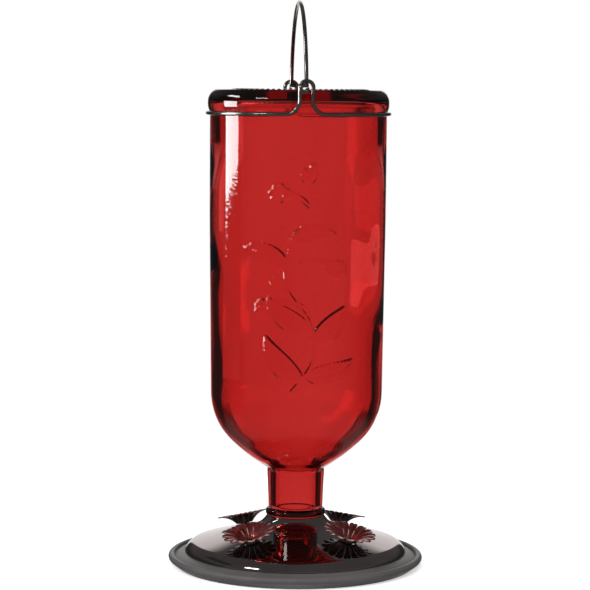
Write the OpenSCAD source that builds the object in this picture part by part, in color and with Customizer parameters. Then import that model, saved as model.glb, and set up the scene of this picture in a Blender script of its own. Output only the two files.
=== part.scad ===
/* [Bottle] */
// Radius of the upper body, the widest plain part of the bottle
body_r = 43; // [41:0.5:43.5]
// How much slimmer the body is where the shoulder starts
body_taper = 1; // [0:0.1:3]
// Height of the shoulder's start above the foot of the tray
shoulder_z = 86; // [82:1:100]
// Radius of the round upper part of the shoulder
shoulder_r = 34; // [30:0.5:36]
// Radius of the flatter lower part of the shoulder
shoulder_low_r = 85; // [70:1:100]
// Length of the body's tapering stretch above the shoulder
taper_h = 86; // [60:1:100]
// Full height of the bottle's base above the foot of the tray
bottle_top_z = 233.4; // [232:0.1:236]
// Thickness of the glass
glass_t = 4.6; // [3:0.1:5.5]
// Thickness of the bottle's base
base_t = 5.5; // [4:0.1:8]
// Depth of the hollow in the bottle's base
punt_depth = 4; // [2:0.1:6]
// Width of the flat ring round the hollow in the base
bearing_w = 5.5; // [3:0.1:8]
// How far the heel stands out beyond the body
heel_step = 1.1; // [0.8:0.1:1.2]
// Radius of the heel's round edge
heel_round = 7; // [5:0.1:8]
// How much of the heel's round edge the flat ring takes off
heel_flat = 0.5; // [0:0.1:1.5]
// Radius of the neck at its slimmest
neck_r = 13.35; // [12.9:0.05:13.6]
// How much wider the neck is where it meets the shoulder
neck_flare = 0.8; // [0.4:0.1:1.5]
// Radius of the bore through the neck
bore_r = 9.9; // [8:0.1:10.2]
// Radius of the bead round the neck
bead_r = 14.6; // [14.3:0.1:15.5]
// Height of the bead
bead_h = 3.5; // [2.5:0.1:4.5]
// Radius of the mouth's wall that enters the socket
finish_r = 12.2; // [11.8:0.1:12.6]
// Length of the mouth below the bead
finish_len = 14.6; // [12:0.1:15]

/* [Hanging wire] */
// Diameter of the wire that the ring and the bail are bent from
wire_d = 1.9; // [1.5:0.1:2.1]
// Distance of the ring's plane below the bottle's base
ring_drop = 12; // [11.4:0.1:12.4]
// Radius of the bend from the ring up into a loop
loop_bend_r = 7.3; // [5:0.1:9]
// Half the distance between the two legs of a loop
loop_half_w = 2.95; // [2.6:0.05:4]
// Rise of a loop's top above the ring, at the middle of the wire
loop_rise = 15.6; // [15:0.1:18]
// How far a loop leans outwards, clear of the heel
loop_lean = 10; // [10:0.5:20]
// Height of the bail's crown above its pivots
bail_rise = 40; // [34:0.5:44]
// Radius of the bend where the bail turns out through a loop
bail_bend_r = 1.5; // [1.2:0.1:2]
// Radius of the curl at each end of the bail
curl_r = 1.6; // [1.2:0.1:2.2]

/* [Cover] */
// Radius of the cover's outer edge
cover_r = 54.3; // [53:0.1:55]
// Thickness of the cover's sheet metal
cover_t = 0.6; // [0.4:0.05:0.8]
// Slope of the cover's straight flank
cover_slope = 14.5; // [12:0.5:16]
// Radius of the hollow curve up to the collar
collar_curve_r = 12; // [9:0.5:14]
// Steepest slope of the collar
collar_slope = 61; // [45:1:65]
// Radius of the round at the cover's outer edge
edge_curve_r = 7; // [5:0.5:9]
// Steepest slope of the cover's outer edge
edge_slope = 72; // [60:1:80]
// Radius of the hole in the collar
collar_hole_r = 13.45; // [13.4:0.05:13.7]

/* [Tray] */
// Radius of the tray's lip
tray_r = 62.5; // [61.5:0.1:68]
// Radius of the foot that the tray stands on
foot_r = 58.3; // [57:0.1:60]
// Width of the foot
foot_w = 2.6; // [1.5:0.1:3.4]
// Radius of the round on the lip
lip_r = 1.7; // [1.2:0.1:2]
// Height of the middle of the lip above the foot
lip_z = 4.1; // [3.4:0.1:4.4]
// Thickness of the tray's moulded walls
tray_wall = 1.8; // [1.2:0.1:2.2]
// Height of the floor's underside above the foot
floor_z = 0.6; // [0.4:0.1:1.5]
// Height of the ledge that the cover's edge rests on
ledge_z = 6.4; // [6:0.1:7]
// Width of the ledge left bare outside the cover
ledge_bare = 0.6; // [0.3:0.1:1]
// Height of the rim that keeps the cover central, above the ledge
register_h = 1.2; // [0.8:0.1:2]
// Radius of the socket's bore for the bottle's mouth
socket_r = 13.6; // [13.4:0.1:14.2]
// Number of slots that let nectar out of the socket
slot_count = 4; // [2:1:6]
// Width of one slot
slot_w = 7; // [4:0.5:10]
// Height of one slot
slot_h = 5; // [3:0.5:7]

/* [Flowers] */
// Distance of a flower's middle from the bottle's axis
port_ring_r = 33.4; // [32:0.1:35]
// Number of petals on one flower
petal_count = 15; // [12:1:17]
// Radius of a flower at the petals' tips
flower_r = 12.9; // [11.5:0.1:13.5]
// Radius of the flat hub inside the petals
hub_r = 3.9; // [3.7:0.1:4.5]
// Slope of a petal where it leaves the hub
petal_rise = 58; // [45:1:65]
// Slope of a petal at its tip, below level
petal_droop = 8; // [0:1:20]
// Thickness of the flowers' sheet metal
petal_t = 0.45; // [0.3:0.05:0.6]
// Width of the slit between two petals
petal_slit = 0.8; // [0.4:0.1:1]
// Depth of the channel along each petal
petal_channel = 0.3; // [0:0.1:0.8]

/* [Eyelets] */
// Radius of the feeding hole through an eyelet
feed_r = 1.8; // [1.4:0.1:1.9]
// Wall of an eyelet
eyelet_t = 0.4; // [0.3:0.05:0.5]
// Radius of an eyelet's rolled flanges
eyelet_flange_r = 3.2; // [2.9:0.1:3.5]

/* [Fits] */
// Gap between a wire and what it lies in or passes through
wire_gap = 0.2; // [0.1:0.05:0.4]
// Gap between pieces that are screwed or set together
seat_gap = 0.3; // [0.2:0.05:0.4]
// Gap between an eyelet and the sheets that it holds
eyelet_gap = 0.1; // [0.05:0.05:0.2]

/* [Hidden] */
flower_count = 4;

$fn = 96;
arc_steps = 10;
wire_r = wire_d / 2;
wire_sides = 12;
// Furthest that the chords of a bent wire lie inside its arc, and the longest step of a bend
wire_sag = 0.04;
wire_step = 15;
edge_soften = 0.5;

// The cover's profile is a flank between two arcs, set by where its edge rests.
edge_start_r = cover_r - edge_curve_r * (sin(edge_slope) - sin(cover_slope));
cover_edge_z = ledge_z + seat_gap + cover_t * cos(edge_slope);
edge_curve_c = [
    cover_r - edge_curve_r * sin(edge_slope),
    cover_edge_z - edge_curve_r * cos(edge_slope)
];
edge_start_z = edge_curve_c[1] + edge_curve_r * cos(cover_slope);
collar_end_r = collar_hole_r + cover_t * sin(collar_slope);
collar_start_r = collar_end_r + collar_curve_r * (sin(collar_slope) - sin(cover_slope));
collar_curve_c = [
    collar_start_r + collar_curve_r * sin(cover_slope),
    flank_z(collar_start_r) + collar_curve_r * cos(cover_slope)
];
collar_top_z = collar_curve_c[1] - collar_curve_r * cos(collar_slope);

// The bottle is screwed in until its bead meets the collar.
bead_z = collar_top_z + seat_gap;
bead_top_z = bead_z + bead_h;
finish_z = bead_z - finish_len;
shoulder_edge_r = body_r - body_taper;
heel_r = body_r + heel_step;
neck_top_r = neck_r + neck_flare;
heel_mid_z = bottle_top_z + heel_flat - heel_round;
heel_flat_a = asin((bottle_top_z - heel_mid_z) / heel_round);
ring_z = bottle_top_z - ring_drop;

// The ring lies against the body, and its ends bend up into two leaning loops.
ring_r = body_r + wire_gap + wire_r;
lean_r = ring_r + loop_bend_r * sin(loop_lean);
loop_angle = asin(loop_half_w / sqrt(pow(lean_r, 2) + pow(loop_bend_r, 2)))
    + atan(loop_bend_r / lean_r);
ring_end = [ring_r * sin(loop_angle), ring_r * cos(loop_angle), 0];
ring_end_dir = [-cos(loop_angle), sin(loop_angle), 0];
leg_dir = [
    sin(loop_lean) * sin(loop_angle),
    sin(loop_lean) * cos(loop_angle),
    cos(loop_lean)
];
leg_start = ring_end + loop_bend_r * (ring_end_dir + leg_dir);
leg_spread = asin(leg_dir[0]);
leg_up = [0, leg_dir[1], leg_dir[2]] / cos(leg_spread);
// Rise of a loop's top above its legs, for each unit of their distance from the middle
top_share = (1 + sin(leg_spread)) / cos(leg_spread);
// Length of a leg that puts the top of its loop at the stated rise
leg_len = (loop_rise - leg_start[2] - leg_start[0] * top_share * leg_up[2])
    / (leg_dir[2] + leg_dir[0] * top_share * leg_up[2]);
leg_end = leg_start + leg_len * leg_dir;
loop_top_r = leg_end[0] / cos(leg_spread);
loop_top_y = leg_end[1] + loop_top_r * (1 + sin(leg_spread)) * leg_up[1];

// The bail is one hoop, and its ends turn outwards under the tops of the loops.
pivot_z = ring_z + loop_rise - wire_d - wire_gap;
bail_y = loop_top_y - wire_d - seat_gap - wire_gap + bail_bend_r;
curl_y = loop_top_y + wire_d + seat_gap;
bail_lean = 90 - 2 * atan(bail_rise / bail_y);
bail_r = bail_y / cos(bail_lean) - bail_bend_r;

// Tray heights and radii that follow the cover
floor_top_z = floor_z + tray_wall;
register_top_z = ledge_z + register_h;
register_r = edge_curve_c[0] - seat_gap + sqrt(
    pow(edge_curve_r - cover_t, 2) - pow(register_top_z - edge_curve_c[1], 2)
);
groove_top_z = ledge_z - tray_wall;
socket_out_r = socket_r + tray_wall;
socket_top_z = collar_curve_c[1] - seat_gap - sqrt(
    pow(collar_curve_r + cover_t, 2) - pow(collar_curve_c[0] - socket_out_r, 2)
);

// Eyelets and the holes for them
shank_r = feed_r + eyelet_t;
eyelet_hole_r = shank_r + eyelet_gap;
port_z = flank_z(port_ring_r);
hub_z = eyelet_gap;

function flank_z(r) = edge_start_z + (edge_start_r - r) * tan(cover_slope);

function arc(c, r, a0, a1) = [
    for (i = [0 : arc_steps])
        let (a = a0 + (a1 - a0) * i / arc_steps)
            [c[0] + r * cos(a), c[1] + r * sin(a)]
];

function reverse(points) = [for (i = [len(points) - 1 : -1 : 0]) points[i]];

// The shoulder's curve from the body in to end_r, for a wall set in by t
function shoulder(t, end_r) =
    let (
        upper = [shoulder_edge_r - shoulder_r, shoulder_z],
        step = (shoulder_low_r - shoulder_r) * cos(45),
        lower = [upper[0] - step, upper[1] + step],
        end_angle = -acos((end_r - lower[0]) / (shoulder_low_r - t))
    )
    concat(
        arc(upper, shoulder_r - t, 0, -45),
        arc(lower, shoulder_low_r - t, -46, end_angle)
    );

// The neck widens gently from the bead up to the shoulder.
function neck_side(top_z) = [
    for (i = [0 : arc_steps])
        let (f = i / arc_steps, bottom_z = bead_top_z + edge_soften)
            [neck_r + neck_flare * pow(1 - f, 1.5), top_z + (bottom_z - top_z) * f]
];

function bottle_outside() =
    let (
        punt_w = heel_r - heel_round * (1 - cos(heel_flat_a)) - bearing_w,
        punt_r = (pow(punt_w, 2) + pow(punt_depth, 2)) / (2 * punt_depth),
        side = shoulder(0, neck_top_r)
    )
    concat(
        arc([0, bottle_top_z - punt_depth + punt_r], punt_r, -90, asin(punt_w / punt_r) - 90),
        arc([heel_r - heel_round, heel_mid_z], heel_round, heel_flat_a, 0),
        [[heel_r, ring_z + 2 * wire_d]],
        [[heel_r - edge_soften, ring_z + wire_r + wire_gap]],
        [[body_r, ring_z + wire_r]],
        [[body_r, shoulder_z + taper_h]],
        side,
        neck_side(side[len(side) - 1][1] - edge_soften),
        arc([bead_r - bead_h / 3, bead_top_z - bead_h / 3], bead_h / 3, 90, 0),
        arc([bead_r - edge_soften, bead_z + edge_soften], edge_soften, 0, -90),
        [[finish_r, bead_z], [finish_r, finish_z + edge_soften]],
        [[finish_r - edge_soften, finish_z]]
    );

function bottle_inside() =
    let (
        heel_in = heel_round - glass_t,
        heel_c = [body_r - glass_t - heel_in, bottle_top_z - base_t - heel_in],
        dome_r = (pow(heel_c[0], 2) + pow(punt_depth, 2)) / (2 * punt_depth),
        side = shoulder(glass_t, bore_r + edge_soften)
    )
    concat(
        arc(
            [0, bottle_top_z - base_t - punt_depth + dome_r],
            dome_r,
            -90,
            asin(heel_c[0] / dome_r) - 90
        ),
        arc(heel_c, heel_in, 90, 0),
        [[body_r - glass_t, shoulder_z + taper_h]],
        side,
        [[bore_r, side[len(side) - 1][1] - 2 * edge_soften]],
        [[bore_r, finish_z]]
    );

// The cover's curve from the collar out to the edge, set in by t
function cover_curve(t) = concat(
    arc(collar_curve_c, collar_curve_r + t, 270 - collar_slope, 270 - cover_slope),
    arc(edge_curve_c, edge_curve_r - t, 90 - cover_slope, 90 - edge_slope)
);

function unit(v) = v / norm(v);

// Points along a bend of radius r round c, from direction x towards direction y, from angle a0 on
function bend(c, x, y, r, a0, a1) =
    let (
        step = min(wire_step, 2 * acos(1 - wire_sag / r)),
        steps = ceil(abs(a1 - a0) / step)
    )
    [
        for (i = [1 : steps])
            let (a = a0 + (a1 - a0) * i / steps)
                c + r * (cos(a) * x + sin(a) * y)
    ];

function flip(points, x, y) = [for (p = points) [p[0] * x, p[1] * y, p[2]]];

// Sweeps the round wire along points; side is a direction square to the wire's start
module wire_sweep(points, side, closed) {
    n = len(points);
    last = n - 1;
    along = [
        for (i = [0 : last])
            unit(
                points[closed || i < last ? (i + 1) % n : i]
                - points[closed || i > 0 ? (i + last) % n : i]
            )
    ];
    across = [
        for (
            i = 0, u = side;
            i < n;
            i = i + 1, u = i < n ? unit(u - (u * along[i]) * along[i]) : u
        )
            u
    ];
    skin = [
        for (i = [0 : last], k = [0 : wire_sides - 1])
            let (a = 360 * k / wire_sides)
                points[i] + wire_r * (cos(a) * across[i] + sin(a) * cross(along[i], across[i]))
    ];
    walls = [
        for (i = [0 : closed ? last : last - 1], k = [0 : wire_sides - 1])
            let (
                a = i * wire_sides,
                b = (i + 1) % n * wire_sides,
                next = (k + 1) % wire_sides
            )
                each two_faces(b + k, b + next, a + next, a + k)
    ];
    ends = closed ? [] : [
        for (k = [1 : wire_sides - 2])
            each [
                [0, k, k + 1],
                [last * wire_sides, last * wire_sides + k + 1, last * wire_sides + k]
            ]
    ];
    polyhedron(skin, concat(walls, ends));
}

module at_flower(i) {
    rotate([0, 0, (i - 0.5) * 360 / flower_count])
        translate([port_ring_r, 0, port_z])
            rotate([0, cover_slope, 0])
                children();
}

module bottle() {
    color("firebrick", 0.7)
        rotate_extrude()
            polygon(concat(bottle_outside(), reverse(bottle_inside())));
}

// A quarter of the ring's wire, from its side round to the top of a loop
ring_quarter = concat(
    bend([0, 0, 0], [1, 0, 0], [0, 1, 0], ring_r, 0, 90 - loop_angle),
    bend(ring_end + loop_bend_r * leg_dir, -leg_dir, ring_end_dir, loop_bend_r, 0, 90),
    [leg_end],
    bend(
        [0, leg_end[1], leg_end[2]] + loop_top_r * sin(leg_spread) * leg_up,
        [1, 0, 0],
        leg_up,
        loop_top_r,
        -leg_spread,
        90
    )
);

module hanger_ring() {
    side = [[ring_r, 0, 0]];
    front = concat(side, ring_quarter);
    back = flip(reverse(ring_quarter), -1, 1);
    half = concat(front, [for (i = [1 : len(back) - 1]) back[i]]);
    color("dimgray")
        translate([0, 0, ring_z])
            wire_sweep(concat(half, flip(half, -1, -1)), [1, 0, 0], true);
}

// Half of the bail's wire, from its crown down to the curl at its end
bail_half = let (
    bend_c = [0, bail_y, bail_bend_r],
    turn_c = [bail_bend_r, curl_y - bail_bend_r, 0],
    out = [0, 1, 0],
    up = [0, 0, 1]
)
concat(
    bend([0, 0, bail_rise - bail_r], up, out, bail_r, 0, 90 - bail_lean),
    bend(bend_c, -up, -out, bail_bend_r, 90 - bail_lean, 0),
    [turn_c - [bail_bend_r, 0, 0]],
    bend(turn_c, [-1, 0, 0], out, bail_bend_r, 0, 90),
    bend([bail_bend_r, curl_y, -curl_r], up, [1, 0, 0], curl_r, 0, 290)
);

module bail() {
    crown = [[0, 0, bail_rise]];
    last = len(bail_half) - 1;
    tip = bail_half[last] - bail_half[last - 1];
    color("dimgray")
        translate([0, 0, pivot_z])
            wire_sweep(
                concat(flip(reverse(bail_half), -1, -1), crown, bail_half),
                unit(cross([1, 0, 0], tip)),
                false
            );
}

module cover() {
    color("#3a2a2a")
        difference() {
            rotate_extrude()
                polygon(concat(cover_curve(0), reverse(cover_curve(cover_t))));
            for (i = [1 : flower_count])
                at_flower(i)
                    cylinder(r = eyelet_hole_r, h = 8 * cover_t, center = true);
        }
}

// The tray's section: floor, socket, rim, ledge, gutter, lip and foot in one wall
function tray_section() =
    let (lip_c = [tray_r - lip_r, lip_z])
    concat(
        [[0, floor_z], [register_r, floor_z]],
        [[register_r, groove_top_z], [foot_r - foot_w, groove_top_z]],
        [[foot_r - foot_w, 0], [foot_r, 0]],
        arc(lip_c, lip_r, -50, 165),
        [[cover_r + ledge_bare, ledge_z], [register_r, ledge_z]],
        [[register_r, register_top_z], [register_r - tray_wall, register_top_z]],
        [[register_r - tray_wall, floor_top_z], [socket_out_r, floor_top_z]],
        [[socket_out_r, socket_top_z], [socket_r, socket_top_z]],
        [[socket_r, floor_top_z], [0, floor_top_z]]
    );

module tray() {
    color("#4a4747")
        difference() {
            rotate_extrude()
                polygon(tray_section());
            for (i = [1 : slot_count])
                rotate([0, 0, i * 360 / slot_count])
                    translate([socket_r - tray_wall, -slot_w / 2, floor_top_z])
                        cube([3 * tray_wall, slot_w, slot_h]);
        }
}

// Petals are pressed up from a flat blank, each a channelled tongue cut free by slits.
petal_rows = 6;
petal_cols = 4;
petal_pitch = 360 / petal_count;
petal_curve_r = (flower_r - hub_r) / (sin(petal_rise) + sin(petal_droop));

// Slope of a petal at row k: row 0 is the hub's hole and row 1 the hub's edge
function petal_slope(k) = k == 0 ? 0
    : petal_rise - (petal_rise + petal_droop) * (k - 1) / (petal_rows - 1);

// Radius and height of a petal's middle line at row k
function petal_line(k) = k == 0 ? [eyelet_hole_r, 0] : [
    hub_r + petal_curve_r * (sin(petal_rise) - sin(petal_slope(k))),
    petal_curve_r * (cos(petal_slope(k)) - cos(petal_rise))
];

// Half the angle that a petal spans at row k, with its tip drawn in to a round end
function petal_half(k) =
    let (
        free = petal_pitch / 2 - asin(petal_slit / 2 / petal_line(k)[0]),
        tip = k == petal_rows ? 0.45 : k == petal_rows - 1 ? 0.95 : 1
    )
    k < 2 ? petal_pitch / 2 : free * tip;

// A point of petal p at row k and column i, on the upper or the lower face
function petal_point(p, k, i, lower) =
    let (
        across = 2 * i / petal_cols - 1,
        a = petal_pitch * p + petal_half(k) * across,
        lift = k < 2 ? 0 : petal_channel * across * across * min(1, (k - 1) / 2),
        slope = k == 1 ? petal_rise / 2 : petal_slope(k),
        r = petal_line(k)[0] + (lower ? petal_t * sin(slope) : 0),
        z = petal_line(k)[1] + lift + petal_t * (1 - (lower ? cos(slope) : 0))
    )
    [r * cos(a), r * sin(a), z];

// Place of that point in the list: the hub's rows share their sides with the next petal
function petal_id(p, k, i, lower) =
    let (
        next = k < 2 && i == petal_cols,
        petal = next ? (p + 1) % petal_count : p,
        col = next ? 0 : i
    )
    ((petal * (petal_rows + 1) + k) * (petal_cols + 1) + col) * 2 + (lower ? 1 : 0);

function two_faces(a, b, c, d) = [[a, b, c], [a, c, d]];

function petal_sheet(p) = [
    for (k = [0 : petal_rows - 1], i = [0 : petal_cols - 1], side = [0, 1])
        let (
            a = petal_id(p, k, i, side == 1),
            b = petal_id(p, k + 1, i, side == 1),
            c = petal_id(p, k + 1, i + 1, side == 1),
            d = petal_id(p, k, i + 1, side == 1)
        )
            each side == 0 ? two_faces(d, c, b, a) : two_faces(a, b, c, d)
];

function petal_sides(p) = [
    for (k = [1 : petal_rows - 1], i = [0, petal_cols])
        let (
            a = petal_id(p, k, i, false),
            b = petal_id(p, k + 1, i, false),
            c = petal_id(p, k + 1, i, true),
            d = petal_id(p, k, i, true)
        )
            each i == 0 ? two_faces(a, b, c, d) : two_faces(d, c, b, a)
];

function petal_ends(p) = [
    for (i = [0 : petal_cols - 1], k = [0, petal_rows])
        let (
            a = petal_id(p, k, i, false),
            b = petal_id(p, k, i + 1, false),
            c = petal_id(p, k, i + 1, true),
            d = petal_id(p, k, i, true)
        )
            each k == 0 ? two_faces(d, c, b, a) : two_faces(a, b, c, d)
];

module flower(i) {
    points = [
        for (
            p = [0 : petal_count - 1],
            k = [0 : petal_rows],
            col = [0 : petal_cols],
            lower = [false, true]
        )
            petal_point(p, k, col, lower)
    ];
    faces = [
        for (p = [0 : petal_count - 1])
            each concat(petal_sheet(p), petal_sides(p), petal_ends(p))
    ];
    color("#5a1518")
        at_flower(i)
            translate([0, 0, hub_z])
                polyhedron(points, faces);
}

// A tube with a rolled flange above the flower's hub and another below the cover
module eyelet(i) {
    top = hub_z + petal_t + eyelet_gap;
    bottom = -cover_t - eyelet_gap;
    roll_c = [eyelet_flange_r - eyelet_t / 2, top + eyelet_t / 2];
    color("#b8923a")
        at_flower(i)
            rotate_extrude()
                polygon(concat(
                    [[feed_r, bottom - eyelet_t + edge_soften / 4]],
                    [[feed_r + edge_soften / 4, bottom - eyelet_t]],
                    [[eyelet_flange_r, bottom - eyelet_t], [eyelet_flange_r, bottom]],
                    [[shank_r, bottom], [shank_r, top]],
                    arc(roll_c, eyelet_t / 2, -90, 90),
                    [[shank_r, top + eyelet_t], [feed_r, top + eyelet_t / 2]]
                ));
}

bottle();
hanger_ring();
bail();
cover();
tray();
for (i = [1 : flower_count]) {
    flower(i);
    eyelet(i);
}
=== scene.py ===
# %% [markdown]
# # A glass bottle feeder for hummingbirds
#
# A red bottle hangs upside down in a wire bail and screws into a low tray. A domed mirror
# of dark metal covers the tray, and four pressed flowers on it are the feeding places.
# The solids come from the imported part. This script dresses each of them with a finer mesh
# and a procedural finish, and lights them as a studio lights coloured glass.

# %% Load the fixed frame
import math

import bmesh
import bpy
import numpy as np
from mathutils import Matrix, Vector, noise


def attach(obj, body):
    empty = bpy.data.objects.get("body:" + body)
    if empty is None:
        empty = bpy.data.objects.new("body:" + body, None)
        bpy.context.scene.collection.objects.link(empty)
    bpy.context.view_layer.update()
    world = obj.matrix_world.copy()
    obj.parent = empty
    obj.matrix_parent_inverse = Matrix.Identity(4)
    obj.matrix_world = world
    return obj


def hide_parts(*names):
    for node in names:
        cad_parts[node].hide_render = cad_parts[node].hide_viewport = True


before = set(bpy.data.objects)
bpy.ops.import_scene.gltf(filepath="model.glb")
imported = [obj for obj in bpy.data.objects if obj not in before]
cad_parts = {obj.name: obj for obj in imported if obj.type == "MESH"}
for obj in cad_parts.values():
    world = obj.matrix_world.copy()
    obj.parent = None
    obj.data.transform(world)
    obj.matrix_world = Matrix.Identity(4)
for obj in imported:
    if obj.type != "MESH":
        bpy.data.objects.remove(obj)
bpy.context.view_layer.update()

print("nodes:", sorted(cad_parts))

# %% [markdown]
# ## Sizes
#
# The sizes repeat those of the solids, in millimetres, so that each new piece takes exactly
# the place of the one it stands for. A mesh is drawn in millimetres and made metres last.

# %% Sizes of the bottle
BODY_R, BODY_TAPER, TAPER_H = 43.0, 1.0, 86.0
SHOULDER_Z, SHOULDER_R, SHOULDER_LOW_R = 86.0, 34.0, 85.0
GLASS_T, BASE_T, PUNT_DEPTH, BEARING_W = 4.6, 5.5, 4.0, 3.0
BEARING_Z, HEEL_R, HEEL_ROUND, HEEL_MIDDLE_Z = 232.9, 44.1, 7.0, 226.9
NECK_R, NECK_FLARE, BORE_R = 13.35, 0.8, 9.9
BEAD_R, BEAD_H, FINISH_R, FINISH_LEN = 14.6, 3.5, 12.2, 14.6
SEAT_GAP, EYELET_GAP, WIRE_GAP = 0.3, 0.1, 0.2

# %% Sizes of the wires
WIRE_R, RING_Z = 0.95, 221.4
LOOP_BEND_R, LOOP_HALF_W, LOOP_RISE, LOOP_LEAN = 7.3, 2.95, 15.6, math.radians(10)
BAIL_RISE, BAIL_BEND_R, CURL_R = 40.0, 1.5, 1.6

# %% Sizes of the cover, the tray and the flowers
COVER_R, COVER_T, COVER_SLOPE = 54.3, 0.6, math.radians(14.5)
COLLAR_CURVE_R, COLLAR_SLOPE, COLLAR_HOLE_R = 12.0, math.radians(61), 13.45
EDGE_CURVE_R, EDGE_SLOPE = 7.0, math.radians(72)
TRAY_R, FOOT_R, FOOT_W, LIP_R, LIP_Z, TRAY_WALL = 62.5, 58.3, 2.6, 1.7, 4.1, 1.8
FLOOR_Z, LEDGE_Z, LEDGE_BARE, REGISTER_H = 0.6, 6.4, 0.6, 1.2
SOCKET_R, SLOT_W, SLOT_H = 13.6, 7.0, 5.0
PORT_RING_R, PETALS, FLOWER_R, HUB_R = 33.4, 15, 12.9, 3.9
PETAL_RISE, PETAL_TIP = math.radians(54), math.radians(-2)
PETAL_T, PETAL_SLIT, PETAL_CHANNEL = 0.45, 0.3, 0.3
FEED_R, EYELET_T, FLANGE_R = 1.8, 0.4, 3.2

# %% Heights that follow from the sizes
edge_start_r = COVER_R - EDGE_CURVE_R * (math.sin(EDGE_SLOPE) - math.sin(COVER_SLOPE))
cover_edge_z = LEDGE_Z + SEAT_GAP + COVER_T * math.cos(EDGE_SLOPE)
edge_c = (
    COVER_R - EDGE_CURVE_R * math.sin(EDGE_SLOPE),
    cover_edge_z - EDGE_CURVE_R * math.cos(EDGE_SLOPE),
)
edge_start_z = edge_c[1] + EDGE_CURVE_R * math.cos(COVER_SLOPE)


def flank_z(r):
    """Height of the cover's straight flank at radius r."""
    return edge_start_z + (edge_start_r - r) * math.tan(COVER_SLOPE)


collar_end_r = COLLAR_HOLE_R + COVER_T * math.sin(COLLAR_SLOPE)
collar_start_r = collar_end_r + COLLAR_CURVE_R * (math.sin(COLLAR_SLOPE) - math.sin(COVER_SLOPE))
collar_c = (
    collar_start_r + COLLAR_CURVE_R * math.sin(COVER_SLOPE),
    flank_z(collar_start_r) + COLLAR_CURVE_R * math.cos(COVER_SLOPE),
)
collar_top_z = collar_c[1] - COLLAR_CURVE_R * math.cos(COLLAR_SLOPE)
bead_z = collar_top_z + SEAT_GAP
bead_top_z = bead_z + BEAD_H
finish_z = bead_z - FINISH_LEN
port_z = flank_z(PORT_RING_R)
print("bead at %.2f, mouth at %.2f, flowers at %.2f mm" % (bead_z, finish_z, port_z))

# %% [markdown]
# ## Making a piece
#
# Most pieces here are turned: an outline is drawn once beside the axis and spun round it.
# A helper draws the outline as a chain of edges and lets the spin operator do the rest.
# Where the outline meets the axis, its copies are merged, which closes the pole.

# %% Turned meshes
FRONT = -math.pi / 2
BOTTLE_STEPS, COVER_STEPS, TRAY_STEPS, EYELET_STEPS = 160, 256, 192, 64


def arc(centre, radius, start, end, steps=10):
    """Points of an arc in the plane of the outline, its angles in degrees."""
    angles = [math.radians(start + (end - start) * i / steps) for i in range(steps + 1)]
    return [(centre[0] + radius * math.cos(a), centre[1] + radius * math.sin(a)) for a in angles]


def rows(start, end, pitch):
    """Points on a straight stretch of outline, without its first one."""
    count = max(1, round(math.dist(start, end) / pitch))
    return [
        tuple(s + (e - s) * i / count for s, e in zip(start, end)) for i in range(1, count + 1)
    ]


def turned(outline, steps, closed=False):
    """A mesh in the making: the outline spun once round the z axis."""
    mesh = bmesh.new()
    chain = [mesh.verts.new((r, 0, z)) for r, z in outline]
    links = list(zip(chain, chain[1:])) + ([(chain[-1], chain[0])] if closed else [])
    edges = [mesh.edges.new(pair) for pair in links]
    bmesh.ops.spin(
        mesh, geom=chain + edges, cent=(0, 0, 0), axis=(0, 0, 1), dvec=(0, 0, 0),
        angle=2 * math.pi, steps=steps, use_merge=True, use_duplicate=False,
    )
    bmesh.ops.remove_doubles(mesh, verts=mesh.verts, dist=1e-3)
    bmesh.ops.recalc_face_normals(mesh, faces=mesh.faces)
    return mesh


def from_axis(vertex):
    """Distance of a vertex from the z axis."""
    return math.hypot(vertex.co.x, vertex.co.y)


def push(vertex, move):
    """Moves a vertex away from the z axis."""
    grow = 1 + move / from_axis(vertex)
    vertex.co.x *= grow
    vertex.co.y *= grow


def whole(mesh):
    """All the vertices, edges and faces of a mesh in the making."""
    return mesh.verts[:] + mesh.edges[:] + mesh.faces[:]


def only(kind, items):
    """The items of one kind."""
    return [item for item in items if isinstance(item, kind)]


def copy_round(mesh, geom, angle):
    """Copies a part of a mesh, turned round the z axis by an angle."""
    copy = bmesh.ops.duplicate(mesh, geom=geom)["geom"]
    bmesh.ops.rotate(
        mesh, cent=(0, 0, 0), matrix=Matrix.Rotation(angle, 3, "Z"),
        verts=only(bmesh.types.BMVert, copy),
    )


def piece(mesh, name, sharp=None):
    """Ends a mesh in the making as an object in metres, smooth but for its sharp edges."""
    bmesh.ops.scale(mesh, vec=(0.001, 0.001, 0.001), verts=mesh.verts)
    data = bpy.data.meshes.new(name)
    mesh.to_mesh(data)
    mesh.free()
    data.polygons.foreach_set("use_smooth", [True] * len(data.polygons))
    if sharp:
        data.set_sharp_from_angle(angle=math.radians(sharp))
    made = bpy.data.objects.new(name, data)
    bpy.context.scene.collection.objects.link(made)
    data.calc_loop_triangles()
    print("%s: %d triangles" % (name, len(data.loop_triangles)))
    return made


# %% [markdown]
# ## The bottle
#
# The bottle is one closed skin: it runs from the hollow of the base over the heel, down the
# body, the shoulder and the neck, and back up inside. The outline follows the solid's, with
# closer rows where raised work is going to be pressed into the front.

# %% The bottle's outline
shoulder_edge_r = BODY_R - BODY_TAPER
PANEL_TOP, PANEL_LOW, STEP_TOP, STEP_LOW = 204.0, 88.0, 225.6, 220.4
ROW, CLOSE_ROW, THREAD_ROW, MOUTH_ROUND, BEAD_LOW_ROUND = 2.0, 1.5, 0.45, 0.6, 0.8


def body_r(z):
    """Radius of the body's outside at height z, above the shoulder."""
    return BODY_R - BODY_TAPER * min(1.0, max(0.0, (SHOULDER_Z + TAPER_H - z) / TAPER_H))


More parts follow.
